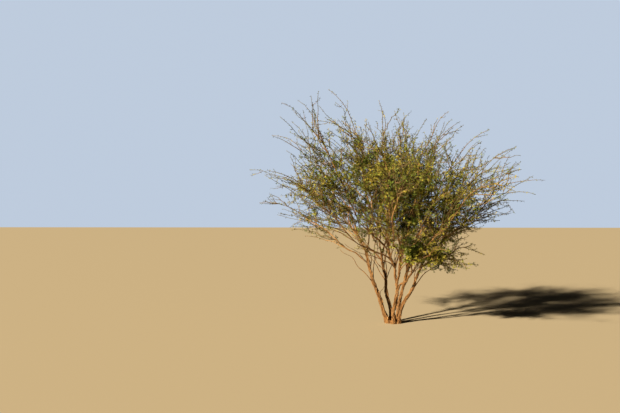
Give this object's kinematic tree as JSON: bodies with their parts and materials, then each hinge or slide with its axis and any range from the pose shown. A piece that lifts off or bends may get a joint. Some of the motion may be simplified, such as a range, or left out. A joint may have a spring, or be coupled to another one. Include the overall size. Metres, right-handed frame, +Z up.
{
  "type": "acacia tree",
  "caption": "Small many-stemmed thorn tree of open country: bare stems spread from one root crown into a broad, open crown of arching twigs with fine feathery leaves.",
  "frame": {"origin": "on the ground, in the middle of the clump of stems, on the flat cut under the root crown", "axes": "+Z up; +X to the right and -Y towards the viewer as the tree is first seen"},
  "size_m": [4.6285, 4.4678, 3.7684],
  "materials": {
    "bark": "rough, orange-brown in the sun, with fine upright cracks",
    "dead_wood": "weathered, dull grey-brown",
    "foliage": "matt, dusty yellow-green leaves on brown twigs"
  },
  "bodies": {
    "root": {"root_crown": "bark", "left_stem": "bark", "centre_stem": "bark", "right_stem": "bark", "back_left_stem": "bark", "back_right_stem": "bark", "centre_left_leader": "bark", "centre_right_leader": "bark", "front_right_leader": "bark", "dead_spur": "dead_wood", "dead_stub": "dead_wood", "bough_skirt_1": "bark", "bough_skirt_2": "bark", "bough_skirt_3": "bark", "bough_skirt_4": "bark", "bough_skirt_5": "bark", "bough_skirt_6": "bark", "bough_skirt_7": "bark", "bough_skirt_8": "bark", "bough_shoulder_1": "bark", "bough_shoulder_2": "bark", "bough_shoulder_3": "bark", "bough_shoulder_4": "bark", "bough_shoulder_5": "bark", "bough_shoulder_6": "bark", "bough_shoulder_7": "bark", "bough_crest_1": "bark", "bough_crest_2": "bark", "bough_crest_3": "bark", "bough_crest_4": "bark", "bough_crest_5": "bark", "bough_crest_6": "bark", "bough_top_1": "bark", "bough_low_1": "bark", "bough_low_2": "bark", "foliage_skirt_1": "foliage", "foliage_skirt_2": "foliage", "foliage_skirt_3": "foliage", "foliage_skirt_4": "foliage", "foliage_skirt_5": "foliage", "foliage_skirt_6": "foliage", "foliage_skirt_7": "foliage", "foliage_skirt_8": "foliage", "foliage_shoulder_1": "foliage", "foliage_shoulder_2": "foliage", "foliage_shoulder_3": "foliage", "foliage_shoulder_4": "foliage", "foliage_shoulder_5": "foliage", "foliage_shoulder_6": "foliage", "foliage_shoulder_7": "foliage", "foliage_crest_1": "foliage", "foliage_crest_2": "foliage", "foliage_crest_3": "foliage", "foliage_crest_4": "foliage", "foliage_crest_5": "foliage", "foliage_crest_6": "foliage", "foliage_top_1": "foliage", "foliage_low_1": "foliage", "foliage_low_2": "foliage"}
  },
  "joints": []
}
